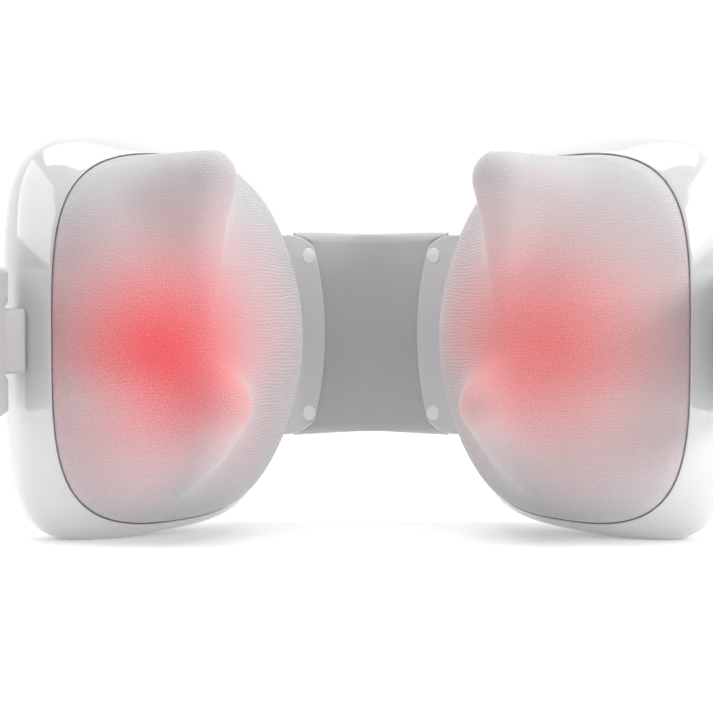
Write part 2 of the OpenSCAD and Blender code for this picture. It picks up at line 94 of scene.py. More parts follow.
BAND_WAIST = 0.5 * MM  # the band is this much narrower at its top and bottom, in the middle of the neck
CLAMP_HALF = BAND_H / 2 - 1 * MM
SINK_WIDTH, SINK_SHARE = 2.2 * MM, 0.65  # how widely the band is sunk beside its plates, and how deeply
CABLE_R = 1.4 * MM
CABLE_OFFSET = 1.9 * MM  # behind the band's middle line
CABLE_TAIL = 26 * MM  # length of the cable past the band's end
ARM_LEN, ARM_H, ARM_T = 112 * MM, 56 * MM, 6.4 * MM
ARM_BOW_R = 500 * MM
SLOT_R = 12 * MM
SLOT_NEAR, SLOT_LEN = 42 * MM, 54 * MM
SLOT_ROUND = 1.2 * MM
BUTTON_R, BUTTON_PITCH = 6 * MM, 17 * MM
BEZEL_W, BEZEL_H = 10 * MM, 29 * MM
BEZEL_PROUD = 0.6 * MM

# ---------- numbers of steps ----------

AROUND = 192  # points round a pod's outline
OUTLINE_SAMPLES = 8000
LIP_STEPS, FRONT_STEPS, BACK_STEPS = 4, 18, 30  # from the shell's lip to the middle of its back
BAND_STEPS, CLAMPED_STEPS, TAIL_STEPS = 36, 10, 8  # half the band, its clamped end, and the cable past it


def pod_matrix(name):
    """The pod's frame: x out to the arm, y back into the shell, z up, origin mid seam plane."""
    depth = Vector(JOINTS[name + "_crank_spin"]["axis"]).normalized()
    outward = Vector((depth.y, -depth.x, 0))
    if name == "left":
        outward = -outward
    origin = Vector(JOINTS[name + "_yoke_swing"]["pos_m"]) - PIVOT_DEPTH * depth
    return Matrix.Translation(origin) @ Matrix((outward, depth, (0, 0, 1))).transposed().to_4x4()


def arm_matrix(name):
    """The arm's frame at its hinge: x out from the centre plane, y back, z up."""
    sign = -1 if name == "left" else 1
    return Matrix.Translation(JOINTS[name + "_arm_hinge"]["pos_m"]) @ Matrix.Diagonal((sign, 1, 1, 1))


POD = {name: pod_matrix(name) for name in SIDES}
ARM = {name: arm_matrix(name) for name in SIDES}
POD_Z = POD["left"].translation.z

# ---------- camera, stage and lights ----------

VIEW_DISTANCE = 0.9
VIEW_ELEVATION = math.radians(2)
VIEW_SHIFT = (-0.0203, -0.0254)
LENS, SENSOR = 116, 36  # in millimetres
CENTRE = Vector((0, POD["left"].translation.y, POD_Z))


def add_camera():
    data = bpy.data.cameras.new("camera")
    data.lens = LENS
    data.sensor_width = SENSOR
    data.shift_x, data.shift_y = VIEW_SHIFT
    camera = bpy.data.objects.new("camera", data)
    offset = Vector((0, -math.cos(VIEW_ELEVATION), math.sin(VIEW_ELEVATION))) * VIEW_DISTANCE
    camera.location = CENTRE + offset
    camera.rotation_euler = (math.radians(90) - VIEW_ELEVATION, 0, 0)
    bpy.context.scene.collection.objects.link(camera)
    bpy.context.scene.camera = camera


def add_light(name, location, size, power):
    """A rectangular light that faces the object. Its power is in watts."""
    data = bpy.data.lights.new(name, "AREA")
    data.shape = "RECTANGLE"
    data.size, data.size_y = size
    data.energy = power
    light = bpy.data.objects.new(name, data)
    light.location = location
    aim = CENTRE - Vector(location)
    light.rotation_euler = aim.to_track_quat("-Z", "Y").to_euler()
    bpy.context.scene.collection.objects.link(light)


def add_stage():
    bpy.ops.mesh.primitive_plane_add(size=6, location=(0, 0.5, 0))
    floor = bpy.context.object
    floor.name = "floor"
    paint = plastic("floor_white", (0.88, 0.88, 0.885), 0.6, 2.0, 0.0)
    shader = paint.node_tree.nodes["Principled BSDF"]
    shader.inputs["Emission Color"].default_value = (1, 1, 1, 1)
    shader.inputs["Emission Strength"].default_value = 0.22
    floor.data.materials.append(paint)
    add_world()
    for sign in (-1, 1):
        add_light("side", (sign * 0.75, -0.15, 0.45), (0.9, 0.6), 2.8)
    add_light("key", (0.75, -0.5, 0.40), (0.3, 0.3), 3.0)
    add_light("top", (0, 0, 1.15), (1.4, 0.8), 13)
    bpy.context.scene.view_settings.view_transform = "Standard"


def add_world():
    """A white studio that is darker in front of the object than behind it."""
    world = bpy.data.worlds.new("studio")
    world.use_nodes = True
    tree = world.node_tree
    background = tree.nodes["Background"]
    background.inputs["Color"].default_value = (0.985, 0.99, 1.0, 1)
    direction = tree.nodes.new("ShaderNodeTexCoord")
    split = tree.nodes.new("ShaderNodeSeparateXYZ")
    tree.links.new(direction.outputs["Generated"], split.inputs[0])
    ramp = tree.nodes.new("ShaderNodeMapRange")
    ramp.interpolation_type = "SMOOTHSTEP"
    for key, number in zip(("From Min", "From Max", "To Min", "To Max"), (-0.2, 0.92, 0.22, 1.03)):
        ramp.inputs[key].default_value = number
    tree.links.new(split.outputs["Y"], ramp.inputs["Value"])
    tree.links.new(ramp.outputs["Result"], background.inputs["Strength"])
    bpy.context.scene.world = world


# ---------- materials ----------


class Nodes:
    """Short calls for building one material's nodes."""

    def __init__(self, name):
        self.material = bpy.data.materials.new(name)
        self.material.use_nodes = True
        self.tree = self.material.node_tree
        self.shader = self.tree.nodes["Principled BSDF"]

    def add(self, kind, **settings):
        node = self.tree.nodes.new(kind)
        for key, value in settings.items():
            if key in node.inputs:
                node.inputs[key].default_value = value
            else:
                setattr(node, key.lower(), value)
        return node

    def link(self, source, target):
        self.tree.links.new(source, target)

    def noise(self, vector, scale, detail=2.0):
        node = self.add("ShaderNodeTexNoise", Scale=scale, Detail=detail)
        self.link(vector, node.inputs["Vector"])
        return node.outputs["Fac"]

    def math(self, operation, *values):
        node = self.add("ShaderNodeMath", operation=operation)
        for socket, value in zip(node.inputs, values):
            if isinstance(value, (int, float)):
                socket.default_value = value
            else:
                self.link(value, socket)
        return node.outputs[0]

    def remap(self, value, low, high, to_low, to_high):
        node = self.add("ShaderNodeMapRange")
        node.interpolation_type = "SMOOTHSTEP"
        for key, number in zip(("From Min", "From Max", "To Min", "To Max"), (low, high, to_low, to_high)):
            node.inputs[key].default_value = number
        self.link(value, node.inputs["Value"])
        return node.outputs["Result"]

    def mix(self, factor, first, second):
        node = self.add("ShaderNodeMix", data_type="RGBA")
        colour_sockets = [s for s in node.inputs if s.type == "RGBA"]
        for socket, value in zip(colour_sockets, (first, second)):
            if isinstance(value, tuple):
                socket.default_value = (*value, 1)
            else:
                self.link(value, socket)
        self.link(factor, node.inputs["Factor"])
        return [s for s in node.outputs if s.type == "RGBA"][0]

    def bump(self, height, depth, strength=1.0):
        node = self.add("ShaderNodeBump", Distance=depth, Strength=strength)
        self.link(height, node.inputs["Height"])
        self.link(node.outputs["Normal"], self.shader.inputs["Normal"])

    def position(self):
        return self.add("ShaderNodeTexCoord").outputs["Object"]


def shade(colour, factor):
    return tuple(min(1, channel * factor) for channel in colour)


def plastic(name, colour, roughness, grain, depth, coat=0.0, scatter=0.0, variation=0.03):
    """Moulded plastic or rubber: grain is the texture's pitch and depth its height, both in millimetres."""
    n = Nodes(name)
    position = n.position()
    cloud = n.noise(position, 55, 3)
    clouded = n.mix(cloud, shade(colour, 1 - variation), shade(colour, 1 + variation))
    n.link(clouded, n.shader.inputs["Base Color"])
    smear = n.noise(position, 140, 4)
    n.link(n.remap(smear, 0.3, 0.7, roughness * 0.85, min(1, roughness * 1.2)), n.shader.inputs["Roughness"])
    if depth:
        n.bump(n.noise(position, 1 / (grain * MM), 2), depth * MM)
    n.shader.inputs["Coat Weight"].default_value = coat
    n.shader.inputs["Coat Roughness"].default_value = 0.05
    n.shader.inputs["Coat IOR"].default_value = 1.75
    n.shader.inputs["Subsurface Weight"].default_value = scatter
    n.shader.inputs["Subsurface Radius"].default_value = (1.0, 0.9, 0.8)
    n.shader.inputs["Subsurface Scale"].default_value = 0.002
    return n.material


def metal(name, colour, roughness):
    """Machined metal: fine scratches round its z axis."""
    n = Nodes(name)
    mapping = n.add("ShaderNodeMapping")
    mapping.inputs["Scale"].default_value = (1, 1, 12)
    n.link(n.position(), mapping.inputs["Vector"])
    scratches = n.noise(mapping.outputs["Vector"], 900, 4)
    n.link(n.mix(scratches, shade(colour, 0.82), shade(colour, 1.12)), n.shader.inputs["Base Color"])
    n.link(n.remap(scratches, 0.3, 0.7, roughness * 0.8, roughness * 1.3), n.shader.inputs["Roughness"])
    n.bump(scratches, 0.01 * MM, 0.5)
    n.shader.inputs["Metallic"].default_value = 1
    return n.material


def circuit_board(name):
    """Green solder mask over faint copper traces."""
    n = Nodes(name)
    position = n.position()
    traces = n.add("ShaderNodeTexVoronoi", Scale=380)
    traces.distance = "MANHATTAN"
    traces.feature = "F1"
    n.link(position, traces.inputs["Vector"])
    line = n.remap(traces.outputs["Distance"], 0.28, 0.34, 0, 1)
    n.link(n.mix(line, (0.03, 0.20, 0.09), (0.09, 0.34, 0.15)), n.shader.inputs["Base Color"])
    n.link(n.remap(line, 0, 1, 0.28, 0.42), n.shader.inputs["Roughness"])
    n.bump(line, 0.03 * MM)
    return n.material


def lamp_diffuser(name):
    """Red translucent plastic, lit from behind in the middle."""
    n = Nodes(name)
    glow = n.remap(n.noise(n.position(), 90, 1), 0.2, 0.8, 1.6, 2.6)
    n.shader.inputs["Base Color"].default_value = (0.75, 0.07, 0.06, 1)
    n.shader.inputs["Roughness"].default_value = 0.3
    n.shader.inputs["Transmission Weight"].default_value = 0.2
    n.shader.inputs["Emission Color"].default_value = (1, 0.10, 0.07, 1)
    n.link(glow, n.shader.inputs["Emission Strength"])
    return n.material


COURSE = 1.3  # pitch of the knit's courses, in millimetres
WALE = 0.9  # pitch of its wales
WANDER = 5.0  # the courses stray within this width


def knit(name, centre, radii, painted_glow_warm, painted_glow_core, glow):
    """Stretch knit in mottled grey, with the red light of the lamps inside painted on: a painted glow that tints
    its colour pink and red and makes the knit itself shine. The glow's centre and radii are lengths along the
    cloth, in millimetres."""
    n = Nodes(name)
    uv = n.add("ShaderNodeUVMap", uv_map="weave").outputs["UV"]
    split = n.add("ShaderNodeSeparateXYZ")
    n.link(uv, split.inputs[0])
    across, along = split.outputs[0], split.outputs[1]
    dashes = n.add("ShaderNodeMapping")
    dashes.inputs["Scale"].default_value = (0.22, 1.0, 1.0)
    n.link(uv, dashes.inputs["Vector"])
    streak = n.noise(dashes.outputs["Vector"], 0.9, 3)
    grain = n.noise(uv, 1.9, 4)
    wander = n.math("MULTIPLY", n.math("SUBTRACT", n.noise(uv, 0.05, 2), 0.5), WANDER)
    row = n.math("MULTIPLY", n.math("ADD", along, wander), 2 * math.pi / COURSE)
    column = n.math("MULTIPLY", across, 2 * math.pi / WALE)
    courses = n.math("SINE", row)
    loops = n.math("MULTIPLY", n.math("SINE", n.math("ADD", column, n.math("MULTIPLY", courses, 1.2))), 0.4)
    weave = n.math("MULTIPLY", n.math("ADD", courses, loops), n.math("MULTIPLY_ADD", streak, 1.4, -0.1))
    flank = n.remap(across, -8, -42, 0.22, 1.0)
    relief = n.math("MULTIPLY_ADD", weave, flank, 0.5)
    mottle = n.math("MULTIPLY_ADD", n.math("SUBTRACT", grain, 0.5), 2.4, 0.5)
    tone = n.math("ADD", n.math("MULTIPLY", relief, 0.34), n.math("MULTIPLY", mottle, 0.66))
    away = n.add("ShaderNodeVectorMath", operation="SUBTRACT")
    n.link(uv, away.inputs[0])
    away.inputs[1].default_value = (*centre, 0)
    scaled = n.add("ShaderNodeVectorMath", operation="DIVIDE")
    n.link(away.outputs[0], scaled.inputs[0])
    scaled.inputs[1].default_value = (*radii, 1)
    distance = n.add("ShaderNodeVectorMath", operation="LENGTH")
    n.link(scaled.outputs[0], distance.inputs[0])
    reach = n.math("ADD", distance.outputs["Value"], n.math("MULTIPLY", n.math("SUBTRACT", grain, 0.5), 0.55))
    # painted glow: halo tints the colour pink and heart paints a red core with emission, where the lamps' light
    # would show through
    halo = n.remap(reach, 0.2, 1.65, 1, 0)
    heart = n.remap(reach, 0.0, 0.95, 1, 0)
    grey = n.mix(tone, (0.30, 0.299, 0.312), (0.57, 0.568, 0.585))
    pink = n.mix(tone, shade(painted_glow_warm, 0.74), shade(painted_glow_warm, 1.1))
    red = n.mix(tone, shade(painted_glow_core, 0.70), shade(painted_glow_core, 1.1))
    n.link(n.mix(heart, n.mix(halo, grey, pink), red), n.shader.inputs["Base Color"])
    n.link(n.math("MULTIPLY", n.math("MULTIPLY", heart, glow), tone), n.shader.inputs["Emission Strength"])
    n.shader.inputs["Emission Color"].default_value = (1, 0.16, 0.16, 1)
    n.shader.inputs["Roughness"].default_value = 0.85
    n.shader.inputs["Sheen Weight"].default_value = 0.5
    n.shader.inputs["Sheen Roughness"].default_value = 0.45
    n.bump(n.math("ADD", relief, n.math("MULTIPLY", mottle, 0.5)), 0.14 * MM, 0.8)
    return n.material


# ---------- mesh building ----------


def new_object(name, points, faces, slot, place, body, replaces, angle=40, uv=None, material=None):
    """Makes a piece from points in a local frame, puts it in the shared frame and ties it to a body, if it
    rides on one. Its material is its slot's, unless another is given."""
    mesh = bpy.data.meshes.new(name)
    world = np.c_[np.asarray(points), np.ones(len(points))] @ np.array(place).T
    flip = np.linalg.det(np.array(place)[:3, :3]) < 0
    faces = [tuple(reversed(face)) if flip else tuple(face) for face in faces]
    mesh.from_pydata(world[:, :3].tolist(), [], faces)
    if uv is not None:
        layer = mesh.uv_layers.new(name="weave")
        index = np.zeros(len(mesh.loops), int)
        mesh.loops.foreach_get("vertex_index", index)
        layer.data.foreach_set("uv", np.asarray(uv)[index].ravel())
    mesh.shade_smooth()
    mesh.set_sharp_from_angle(angle=math.radians(angle))
    mesh.materials.append(material or MATERIAL[slot])
    piece = bpy.data.objects.new(name, mesh)
    bpy.context.scene.collection.objects.link(piece)
    if body:
        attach(piece, body)
    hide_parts(*replaces)
    return piece


def outline(half_w, half_h, bulge=0.0, count=AROUND):
    """Points of the pod's outline, evenly spaced in each quarter. bulge is 0 at the seam and 1 at the shell's
    widest."""
    t = np.linspace(0, 2 * np.pi, OUTLINE_SAMPLES + 1)
    cos, sin = np.cos(t), np.sin(t)
    power = 2 / (SQUARE + SQUARE_OUT * cos + bulge * (MORE_SQUARE + MORE_SQUARE_OUT * cos))
    side = np.sign(cos) * np.abs(cos) ** power
    taper = 1 - (SEAM_TAPER + (SHELL_TAPER - SEAM_TAPER) * bulge) * (1 - side) / 2
    x = half_w * side
    z = half_h * np.sign(sin) * np.abs(sin) ** power * taper
    length = np.r_[0, np.cumsum(np.hypot(np.diff(x), np.diff(z)))]
    marks = length[::OUTLINE_SAMPLES // 4]
    stops = np.concatenate([
        np.linspace(marks[q], marks[q + 1], count // 4, endpoint=False) for q in range(4)
    ])
    return np.c_[np.interp(stops, length, x), np.interp(stops, length, z)]


def grid_faces(rows, columns, wrap_rows=False, wrap_columns=True):
    """Four-sided faces between neighbouring rows and columns of points."""
    faces = []
    for i in range(rows if wrap_rows else rows - 1):
        for j in range(columns if wrap_columns else columns - 1):
            a, b = i * columns, ((i + 1) % rows) * columns
            faces.append((a + j, a + (j + 1) % columns, b + (j + 1) % columns, b + j))
    return faces


def rings(sections):
    """Points and faces of a skin through sections of equal count, each an array of points."""
    sections = np.asarray(sections)
    return sections.reshape(-1, 3), grid_faces(sections.shape[0], sections.shape[1])


def inset(points, distance):
    """A closed 2D outline moved inwards, for outlines that run anticlockwise."""
    tangent = np.roll(points, -1, 0) - np.roll(points, 1, 0)
    tangent /= np.linalg.norm(tangent, axis=1)[:, None] + 1e-12
    distance = np.broadcast_to(np.asarray(distance), (len(points),))
    return points + np.c_[-tangent[:, 1], tangent[:, 0]] * distance[:, None]


def slab(shape, low, high, edge, steps=6, dome=0.0):
    """A solid plate between low and high along y, whose outline is shape in x and z, with rounded edges. dome
    is how far its low face stands out in the middle."""
    layers = []
    for k in range(steps + 1):
        a = math.pi / 2 * k / steps
        layers.append((edge * (1 - math.sin(a)), low + edge * (1 - math.cos(a))))
    layers += [(gap, high + low - y) for gap, y in reversed(layers)]
    flat = edge + 0.2 * MM
    layers = [(flat, low)] + layers + [(flat, high)]
    sections = []
    for gap, y in layers:
        ring = inset(shape, gap)
        sections.append(np.c_[ring[:, 0], np.full(len(ring), y), ring[:, 1]])
    points, faces = rings(sections)
    count = len(shape)
    last = len(points)
    middle = shape.mean(0)
    if dome:
        inner = []
        for k in (0.75, 0.5, 0.25):
            ring = middle + (inset(shape, flat) - middle) * k
            inner.append(np.c_[ring[:, 0], np.full(count, low - dome * (1 - k * k)), ring[:, 1]])
        inner = np.concatenate(inner)
        points = np.concatenate([points, inner, [[middle[0], low - dome, middle[1]]]])
        order = [0, last, last + count, last + 2 * count]
        for a, b in zip(order, order[1:]):
            faces += [(b + j, b + (j + 1) % count, a + (j + 1) % count, a + j) for j in range(count)]
        faces += [(len(points) - 1, order[-1] + (j + 1) % count, order[-1] + j) for j in range(count)]
    else:
        faces.append(tuple(reversed(range(count))))
    faces.append(tuple(range(last - count, last)))
    return points, faces


def stadium(half_w, half_h, count=64):
    """A rectangle with fully round ends, standing along the second axis."""
    quarter = count // 2
    up = np.linspace(0, np.pi, quarter)
    top = np.c_[half_w * np.cos(up), half_h - half_w + half_w * np.sin(up)]
    return np.concatenate([top, -top])


# ---------- shells and rims ----------


def shell_sections():
    """The shell's outlines, from inside its lip over the front edge to its back, cut flat at the floor."""
    lip_w, lip_h = SEAM_W + SEAM_GAP, SEAM_H + SEAM_GAP
    profile = [(lip_w, lip_h, LIP_DEPTH, 0), (lip_w, lip_h, LIP_ROUND, 0)]
    for k in range(1, LIP_STEPS + 1):
        a = math.pi / 2 * k / LIP_STEPS
        grow = LIP_ROUND * (1 - math.cos(a))
        profile.append((lip_w + grow, lip_h + grow, LIP_ROUND * (1 - math.sin(a)), 0))
    start_w, start_h = lip_w + LIP_WALL, lip_h + LIP_WALL
    for k in range(FRONT_STEPS + 1):
        t = k / FRONT_STEPS
        rise = math.sin(math.pi / 2 * t)
        profile.append((
            start_w + (SHELL_W - start_w) * rise,
            start_h + (SHELL_H - start_h) * rise,
            LIP_ROUND / 2 * (1 - t) + BELLY_Y * t,
            t,
        ))
    for k in range(1, BACK_STEPS):
        a = math.pi / 2 * k / BACK_STEPS
        size = math.cos(a) ** (2 / BACK_POWER)
        depth = math.sin(a) ** (2 / BACK_POWER)
        profile.append((SHELL_W * size, SHELL_H * size, BELLY_Y + (SHELL_DEPTH - BELLY_Y) * depth, 1))
    sections = []
    for half_w, half_h, y, bulge in profile:
        ring = outline(half_w, half_h, bulge)
        sections.append(np.c_[ring[:, 0], np.full(len(ring), y), np.maximum(ring[:, 1], -POD_Z)])
    return sections


def add_shell(name):
    points, faces = rings(shell_sections())
    count = len(points)
    points = np.concatenate([points, [[0, SHELL_DEPTH, 0]]])
    faces += [(count - AROUND + j, count - AROUND + (j + 1) % AROUND, count) for j in range(AROUND)]
    new_object(
        name + "_shell_skin", points, faces, "shell_gloss", POD[name], name + "_pod", [name + "_shell"],
        angle=60,
    )


def add_rim(name):
    """The white rim that holds the edge of the knit."""
    sections = []
    for a in np.linspace(0, 2 * np.pi, 16, endpoint=False):
        reach = RIM_HALF * math.cos(a)
        ring = outline(SEAM_W - RIM_HALF + reach, SEAM_H - RIM_HALF + reach)
        y = RIM_Y + (RIM_BACK if math.sin(a) > 0 else RIM_FRONT) * math.sin(a)
        sections.append(np.c_[ring[:, 0], np.full(len(ring), y), ring[:, 1]])
    sections = np.asarray(sections)
    points = sections.reshape(-1, 3)
    faces = grid_faces(sections.shape[0], sections.shape[1], wrap_rows=True)
    new_object(name + "_rim", points, faces, "rim_white", POD[name], name + "_pod", [name + "_fabric_frame"])


# ---------- the knit, stretched over the heads ----------

CELL = 1.0 * MM
GRID, QUICK_GRID = 150, 60  # cells along each side of the knit's mesh
CROWDING = 1.35  # how much the mesh's lines crowd towards the rim
SWEEPS, OVER_RELAX = 700, 1.9
BALLS = 14  # from one station of the mound to the next
PAD = 28 * MM  # height of the padding assumed under the knit, away from the heads; it isn't a piece
PULL = 2.5 * MM  # further height that the knit is blown out to
CLING = 8 * MM  # the knit falls back to the padding over this distance from a head
FLARE = 1.3  # growth of the knit's height in z for each metre that it stands in front of the seam
KNIT_SPAN = 0.7 * MM  # the knit's thickness over what it lies on
KNIT_EDGE = -0.35 * MM  # the knit is wrapped round the rim, and stands this far outside it
KNIT_W, KNIT_H = SEAM_W - KNIT_EDGE, SEAM_H - KNIT_EDGE
STEEP = 1.5 * MM  # the knit may rise as a wall over this width at the rim
ROLL = 2.6 * MM  # height of the knit's rolled edge, over the edge itself
ROLL_WIDTH = 1.0 * MM
TUCK = 0.6 * MM  # the edge itself is this far behind the seam plane


def head_centre(name, which):
    """A head's centre in the pod's frame, with the yoke where it has stopped."""
    turn = SWING_REST if name == "left" else -SWING_REST
    x, y = HEAD_LEAN[which], -HEAD_REACH - PIVOT_DEPTH
    return (
        x * math.cos(turn) - y * math.sin(turn),
        x * math.sin(turn) + y * math.cos(turn) + PIVOT_DEPTH,
        HEAD_Z[which],
    )


def mound(name):
    """The row of balls that the knit is stretched over: the two heads, and five more for padding that is
    assumed between and below them and isn't a piece. Each is (x, z, distance in front of the seam plane,
    radius)."""
    upper, lower = head_centre(name, "upper"), head_centre(name, "lower")
    ball = HEAD_R + KNIT_SPAN
    middle = (upper[0] + lower[0]) / 2
    return (
        (upper[0], upper[2], -upper[1], ball),
        (upper[0], upper[2] - 15 * MM, -upper[1] - 5 * MM, ball - 1 * MM),
        (middle, upper[2] - 34 * MM, -upper[1] - 15 * MM, ball),
        (middle, lower[2] + 17 * MM, -lower[1] - 20 * MM, ball),
        (lower[0], lower[2], -lower[1], ball),
        (lower[0] + 2 * MM, lower[2] - 14 * MM, -lower[1] - 12 * MM, ball - 1 * MM),
        (lower[0] + 6 * MM, lower[2] - 28 * MM, -lower[1] - 27 * MM, ball - 2 * MM),
    )


def padding(inward):
    """Height of the assumed padding in front of the seam plane. inward is 0 in the middle and 1 at the
    rim."""
    return PAD * np.maximum(1 - inward ** 3, 0) ** 0.8


def obstacle(name, x, z, height):
    """Height in front of the seam plane of what is under the knit: the padding's height, or a ball's."""
    stations = mound(name)
    for first, last in zip(stations, stations[1:]):
        for t in np.linspace(0, 1, BALLS):
            cx, cz, reach, radius = (a + (b - a) * t for a, b in zip(first, last))
            cz /= 1 + FLARE * reach
            square = radius ** 2 - (x - cx) ** 2 - (z - cz) ** 2
            height = np.where(square > 0, np.maximum(height, reach + np.sqrt(np.maximum(square, 0))), height)
    return height


def relax_membrane(name):
    """Height field of a sheet held at the rim and stretched over the padding and the heads."""
    x = np.arange(-math.ceil(KNIT_W / CELL) - 1, math.ceil(KNIT_W / CELL) + 2) * CELL
    z = np.arange(-math.ceil(KNIT_H / CELL) - 1, math.ceil(KNIT_H / CELL) + 2) * CELL
    grid_x, grid_z = np.meshgrid(x, z, indexing="ij")
    ring = outline(KNIT_W, KNIT_H, count=720)
    angle = np.arctan2(ring[:, 1] / KNIT_H, ring[:, 0] / KNIT_W) % (2 * np.pi)
    reach = np.hypot(ring[:, 0] / KNIT_W, ring[:, 1] / KNIT_H)
    order = np.argsort(angle)
    here = np.arctan2(grid_z / KNIT_H, grid_x / KNIT_W) % (2 * np.pi)
    limit = np.interp(here, angle[order], reach[order], period=2 * np.pi)
    inward = np.hypot(grid_x / KNIT_W, grid_z / KNIT_H) / limit
    inside = inward < 1
    pad = padding(inward)
    floor = obstacle(name, grid_x, grid_z, pad)
    hold = (CELL / CLING) ** 2
    load = PULL * 2 * (1 / KNIT_W ** 2 + 1 / KNIT_H ** 2) * CELL ** 2
    height = np.where(inside, np.maximum(floor, 0), 0)
    parity = np.add.outer(np.arange(len(x)), np.arange(len(z))) % 2
    for _ in range(SWEEPS):
        for colour in (0, 1):
            around = (
                np.roll(height, 1, 0) + np.roll(height, -1, 0)
                + np.roll(height, 1, 1) + np.roll(height, -1, 1)
            )
            target = height + OVER_RELAX * ((around + load + hold * pad) / (4 + hold) - height)
            target = np.maximum(target, floor)
            height = np.where(inside & (parity == colour), target, height)
    return x, z, height


def sample(x_axis, z_axis, field, x, z):
    """Bilinear reading of a field on the membrane's grid."""
    i = np.clip((x - x_axis[0]) / CELL, 0, len(x_axis) - 1.001)
    j = np.clip((z - z_axis[0]) / CELL, 0, len(z_axis) - 1.001)
    i0, j0 = i.astype(int), j.astype(int)
    u, v = i - i0, j - j0
    return (
        field[i0, j0] * (1 - u) * (1 - v) + field[i0 + 1, j0] * u * (1 - v)
        + field[i0, j0 + 1] * (1 - u) * v + field[i0 + 1, j0 + 1] * u * v
    )


def square_grid(side):
    """A square grid bent to the knit's outline: its outer row is the outline itself."""
    around = outline(KNIT_W, KNIT_H, count=4 * side)
    lin = np.sin(np.linspace(-1, 1, side + 1) * CROWDING) / math.sin(CROWDING)
    u, v = np.meshgrid(lin, lin, indexing="ij")
    ring = np.maximum(np.abs(u), np.abs(v))
    safe = np.where(ring > 0, ring, 1)
    p, q = u / safe, v / safe
    turn = np.select(
        [(p >= 1) & (np.abs(q) <= 1), q >= 1, p <= -1],
        [q / 2, 1 - p / 2, 2 - q / 2],
        3 + p / 2,
    ) % 4
    closed = np.r_[around, around[:1]]
    steps = np.linspace(0, 4, len(closed))
    return (
        ring * np.interp(turn, steps, closed[:, 0]),
        ring * np.interp(turn, steps, closed[:, 1]),
        ring,
    )


def arc_length(field, axis):
    """Length of cloth from the middle line to each grid point, which keeps the courses even over the
    bumps."""
    step = np.sqrt(1 + (np.diff(field, axis=axis) / CELL) ** 2) * CELL
    total = np.cumsum(step, axis=axis)
    total = np.concatenate([np.zeros_like(np.take(total, [0], axis=axis)), total], axis=axis)
    middle = field.shape[axis] // 2
    return total - np.take(total, [middle], axis=axis)


def add_knit(name):
    """The knit cover, held by the pod's rim and stretched over the heads."""
    side = GRID
    x_axis, z_axis, height = relax_membrane(name)
    x, z, ring = (part.ravel() for part in square_grid(side))
    edge_width = ROLL_WIDTH / SEAM_W
    fold = np.clip((ring - 1 + edge_width) / edge_width, 0, 1)
    near_rim = np.clip((1 - ring) * SEAM_W / STEEP, 0, 1)
    raised = sample(x_axis, z_axis, height, x, z) * np.sqrt(near_rim)
    y = TUCK - ROLL * np.sqrt(1 - fold ** 2) - raised
    across = sample(x_axis, z_axis, arc_length(height, 0), x, z)
    along = sample(x_axis, z_axis, arc_length(height, 1), x, z)
    points = np.c_[x, y, z * (1 + FLARE * raised)]
    faces = grid_faces(side + 1, side + 1, wrap_columns=False)
    piece = new_object(
        name + "_knit", points, faces, "knit_fabric", POD[name], None, [name + "_fabric_cover"],
        angle=180, uv=np.c_[across, along] / MM, material=MATERIAL[name + "_knit"],
    )
    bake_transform(piece)


# ---------- band, clamps and screws ----------


def band_arc():
    """Centre and radius of the band's middle line, from the clamps at both ends, and half its angle."""
    end = POD["right"] @ Vector((CLAMP_X - BAND_STOP, CLAMP_Y + BAND_T / 2, 0))
    depth = Vector(JOINTS["right_crank_spin"]["axis"])
    tilt = math.atan2(depth.x, depth.y)
    radius = end.x / math.sin(tilt)
    return Vector((0, end.y - radius * math.cos(tilt), POD_Z)), radius, tilt


def along_band(name, share, ahead, offset, height):
    """A ring of points across the band, at a share of its half, or ahead of that half's end, into the pod."""
    centre, radius, tilt = band_arc()
    a, r = tilt * share, radius + offset
    sign = -1 if name == "left" else 1
    return np.c_[
        sign * (r * math.sin(a) + ahead * math.cos(a)),
        centre.y + r * math.cos(a) - ahead * math.sin(a),
        centre.z + height,
    ]


def add_band_piece(name, piece_name, sections, slot, node):
    """A solid swept along half of the band, which bends from the middle of the neck to the clamp."""
    points, faces = rings(sections)
    count = len(sections[0])
    faces.append(tuple(range(count)))
    faces.append(tuple(reversed(range(len(points) - count, len(points)))))
    if name == "left":
        faces = [tuple(reversed(face)) for face in faces]
    piece = new_object(piece_name, points, faces, slot, Matrix.Identity(4), None, [node], angle=60)
    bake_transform(piece)


def add_band_half(name):
    """Half of the silicone band: a cushion on its neck side, sunk along the plate that clamps its end."""
    half_t, half_h = BAND_T / 2, BAND_H / 2
    _, radius, tilt = band_arc()
    sections = []
    for k in range(BAND_STEPS + 1 + CLAMPED_STEPS):
        share = min(k / BAND_STEPS, 1)
        beyond = max(k - BAND_STEPS, 0)
        ahead = 1.3 * MM * max(beyond - 1, 0) + 0.2 * MM * min(beyond, 1)
        middle = math.cos(math.pi / 2 * share) ** 2
        section = stadium(half_t, half_h - BAND_WAIST * middle, 96)
        offset, height = section[:, 0], section[:, 1]
        crown = 1 + 0.3 * middle - (0.3 + 0.8 * middle) * np.abs(height / half_h) ** 2.2
        to_plate = radius * tilt * (1 - share) - ahead + BAND_STOP + clamp_edge(height) - CLAMP_X
        sunk = 1 - SINK_SHARE * np.exp(-(np.maximum(to_plate, 0) / SINK_WIDTH) ** 2)
        offset = np.where(offset < 0, offset * crown * sunk, offset)
        if beyond > 1:
            offset = np.minimum(offset, 0)
        sections.append(along_band(name, share, ahead, offset, height))
    add_band_piece(name, name + "_band_half", sections, "band_silicone", "neck_band")


